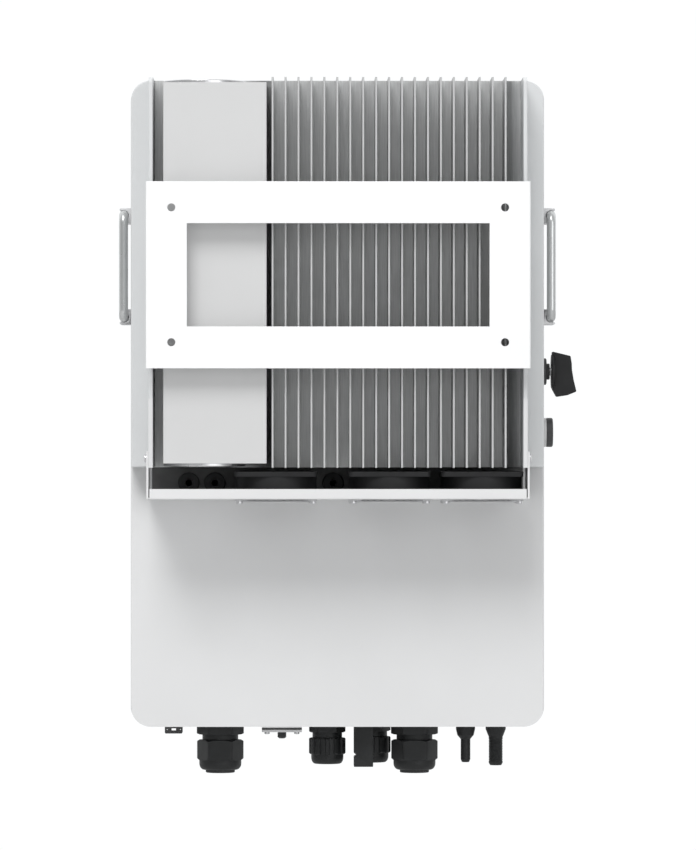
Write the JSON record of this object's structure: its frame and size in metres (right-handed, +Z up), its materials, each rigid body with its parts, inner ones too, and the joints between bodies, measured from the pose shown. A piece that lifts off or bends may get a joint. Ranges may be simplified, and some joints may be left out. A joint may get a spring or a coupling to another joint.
{
  "type": "string inverter",
  "caption": "Wall-hung string inverter with finned heat sink, fan tray, folding handles, rotary DC switch and bottom cable glands, on its wall bracket.",
  "frame": {"origin": "middle of the wall bracket's four bolt holes, on its wall face", "axes": "+Z up, +Y into the wall, so the cabinet's front faces -Y and its left side is -X"},
  "size_m": [0.4538, 0.2578, 0.6862],
  "materials": {
    "white_plate": "smooth white powder coat",
    "cabinet_paint": "cast, with a fine textured light powder coat",
    "frame_paint": "cast, with a fine textured light grey powder coat",
    "sheet_grey": "satin light grey sheet",
    "fin_aluminium": "raw extruded, satin",
    "bright_can": "bright drawn metal",
    "copper_winding": "enamelled copper",
    "steel": "zinc plated",
    "wire": "plated wire",
    "handle_metal": "satin metal",
    "black_plastic": "moulded, matt",
    "fan_plastic": "moulded, matt",
    "gland_nylon": "moulded nylon, satin",
    "knob_black": "fine grained",
    "bezel_black": "gloss",
    "key_grey": "soft satin",
    "collar_plastic": "satin light plastic",
    "rubber": "matt rubber",
    "window_glass": "clear",
    "light_pipe": "clear coloured",
    "circuit_board": "solder mask",
    "capacitor_sleeve": "shrink sleeve",
    "relay_case": "moulded",
    "terminal_grey": "moulded"
  },
  "bodies": {
    "cabinet": {"wall_bracket": "white_plate", "hanger_studs": "steel", "main_housing": "cabinet_paint", "heat_sink_frame": "frame_paint", "heat_sink": "fin_aluminium", "choke_cover": "sheet_grey", "choke_can": "bright_can", "chokes": "copper_winding", "fan_bay_panel": "black_plastic", "cable_grommets": "rubber", "fan_tray": "white_plate", "tray_strips": "white_plate", "fan_frame_1": "fan_plastic", "fan_frame_2": "fan_plastic", "fan_frame_3": "fan_plastic", "finger_guards": "wire", "fan_screws": "steel", "case_screws": "steel", "handle_lugs": "handle_metal", "handle_pins": "steel", "dc_switch_flange": "black_plastic", "dc_switch_body": "black_plastic", "power_button_collar": "collar_plastic", "power_button_bezel": "black_plastic", "power_button_contact": "black_plastic", "gland_bodies": "gland_nylon", "gland_nuts": "gland_nylon", "gland_seals": "rubber", "pv_connector_plus": "gland_nylon", "pv_connector_minus": "gland_nylon", "battery_connector": "gland_nylon", "logger_port": "black_plastic", "vent_plate": "steel", "vent_cap": "black_plastic", "gaskets": "rubber", "front_cover": "cabinet_paint", "wiring_cover": "cabinet_paint", "display_bezel": "bezel_black", "display_window": "window_glass", "lcd_module": "circuit_board", "status_lights": "light_pipe", "power_board": "circuit_board", "power_modules": "black_plastic", "dc_link_capacitors": "capacitor_sleeve", "relays": "relay_case", "control_board": "circuit_board", "board_standoffs": "steel", "terminal_block": "terminal_grey"},
    "handle_left": {"handle_left": "handle_metal"},
    "handle_right": {"handle_right": "handle_metal"},
    "dc_switch": {"dc_switch_knob": "knob_black", "dc_switch_shaft": "steel"},
    "power_button": {"power_button": "knob_black"},
    "key_1": {"key_1": "key_grey"},
    "key_2": {"key_2": "key_grey"},
    "key_3": {"key_3": "key_grey"},
    "key_4": {"key_4": "key_grey"},
    "fan_rotor_1": {"fan_rotor_1": "fan_plastic"},
    "fan_rotor_2": {"fan_rotor_2": "fan_plastic"},
    "fan_rotor_3": {"fan_rotor_3": "fan_plastic"}
  },
  "joints": [
    {"name": "handle_left_fold", "type": "hinge", "parent": "cabinet", "child": "handle_left", "pos_m": [-0.2111, -0.15, 0.0115], "axis": [0, 0, 1], "range_deg": [0, 90]},
    {"name": "handle_right_fold", "type": "hinge", "parent": "cabinet", "child": "handle_right", "pos_m": [0.2111, -0.15, 0.0115], "axis": [0, 0, -1], "range_deg": [0, 90]},
    {"name": "dc_switch_turn", "type": "hinge", "parent": "cabinet", "child": "dc_switch", "pos_m": [-0.204, -0.165, -0.0921], "axis": [-1, 0, 0], "range_deg": [0, 90]},
    {"name": "power_button_press", "type": "slide", "parent": "cabinet", "child": "power_button", "axis": [1, 0, 0], "range_m": [0, 0.003], "stiffness_N_per_m": 400, "springref_m": -0.003},
    {"name": "key_1_press", "type": "slide", "parent": "cabinet", "child": "key_1", "axis": [0, 1, 0], "range_m": [0, 0.0008], "stiffness_N_per_m": 500, "springref_m": -0.001},
    {"name": "key_2_press", "type": "slide", "parent": "cabinet", "child": "key_2", "axis": [0, 1, 0], "range_m": [0, 0.0008], "stiffness_N_per_m": 500, "springref_m": -0.001},
    {"name": "key_3_press", "type": "slide", "parent": "cabinet", "child": "key_3", "axis": [0, 1, 0], "range_m": [0, 0.0008], "stiffness_N_per_m": 500, "springref_m": -0.001},
    {"name": "key_4_press", "type": "slide", "parent": "cabinet", "child": "key_4", "axis": [0, 1, 0], "range_m": [0, 0.0008], "stiffness_N_per_m": 500, "springref_m": -0.001},
    {"name": "fan_spin_1", "type": "hinge", "parent": "cabinet", "child": "fan_rotor_1", "pos_m": [0.0605, -0.065, -0.205], "axis": [0, 0, 1], "continuous": true},
    {"name": "fan_spin_2", "type": "hinge", "parent": "cabinet", "child": "fan_rotor_2", "pos_m": [-0.0502, -0.065, -0.205], "axis": [0, 0, 1], "continuous": true},
    {"name": "fan_spin_3", "type": "hinge", "parent": "cabinet", "child": "fan_rotor_3", "pos_m": [-0.1404, -0.065, -0.205], "axis": [0, 0, 1], "continuous": true}
  ]
}
